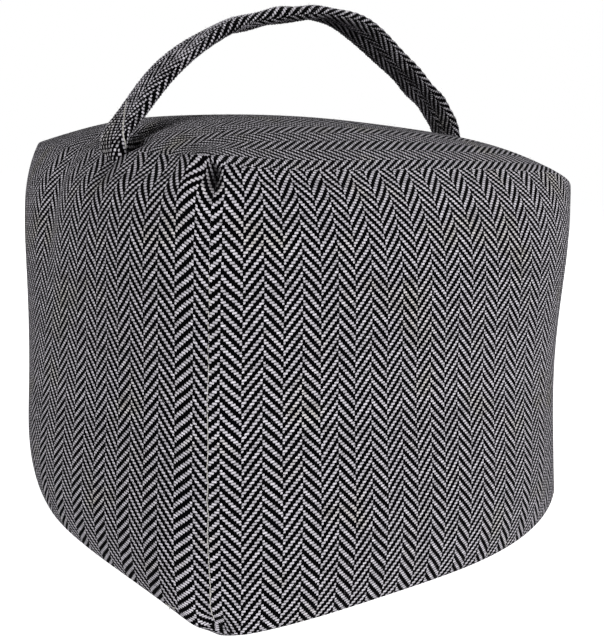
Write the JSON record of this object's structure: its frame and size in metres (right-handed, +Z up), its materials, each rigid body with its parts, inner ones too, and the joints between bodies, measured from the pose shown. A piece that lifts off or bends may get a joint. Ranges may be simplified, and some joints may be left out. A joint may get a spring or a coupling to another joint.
{
  "type": "fabric cube doorstop",
  "caption": "Soft filled cube doorstop sewn from herringbone cloth, with a crowned top, drawn-in seams, a flat base and a cloth strap handle.",
  "frame": {"origin": "on the floor, under the middle of the cube", "axes": "+X to the right along the front panel, +Y to the back, +Z up; the strap spans the top along X"},
  "size_m": [0.2195, 0.2026, 0.2074],
  "materials": {
    "herringbone_cloth": "coarse woven herringbone, matt"
  },
  "bodies": {
    "root": {"filled_cube": "herringbone_cloth", "handle_strap": "herringbone_cloth"}
  },
  "joints": []
}
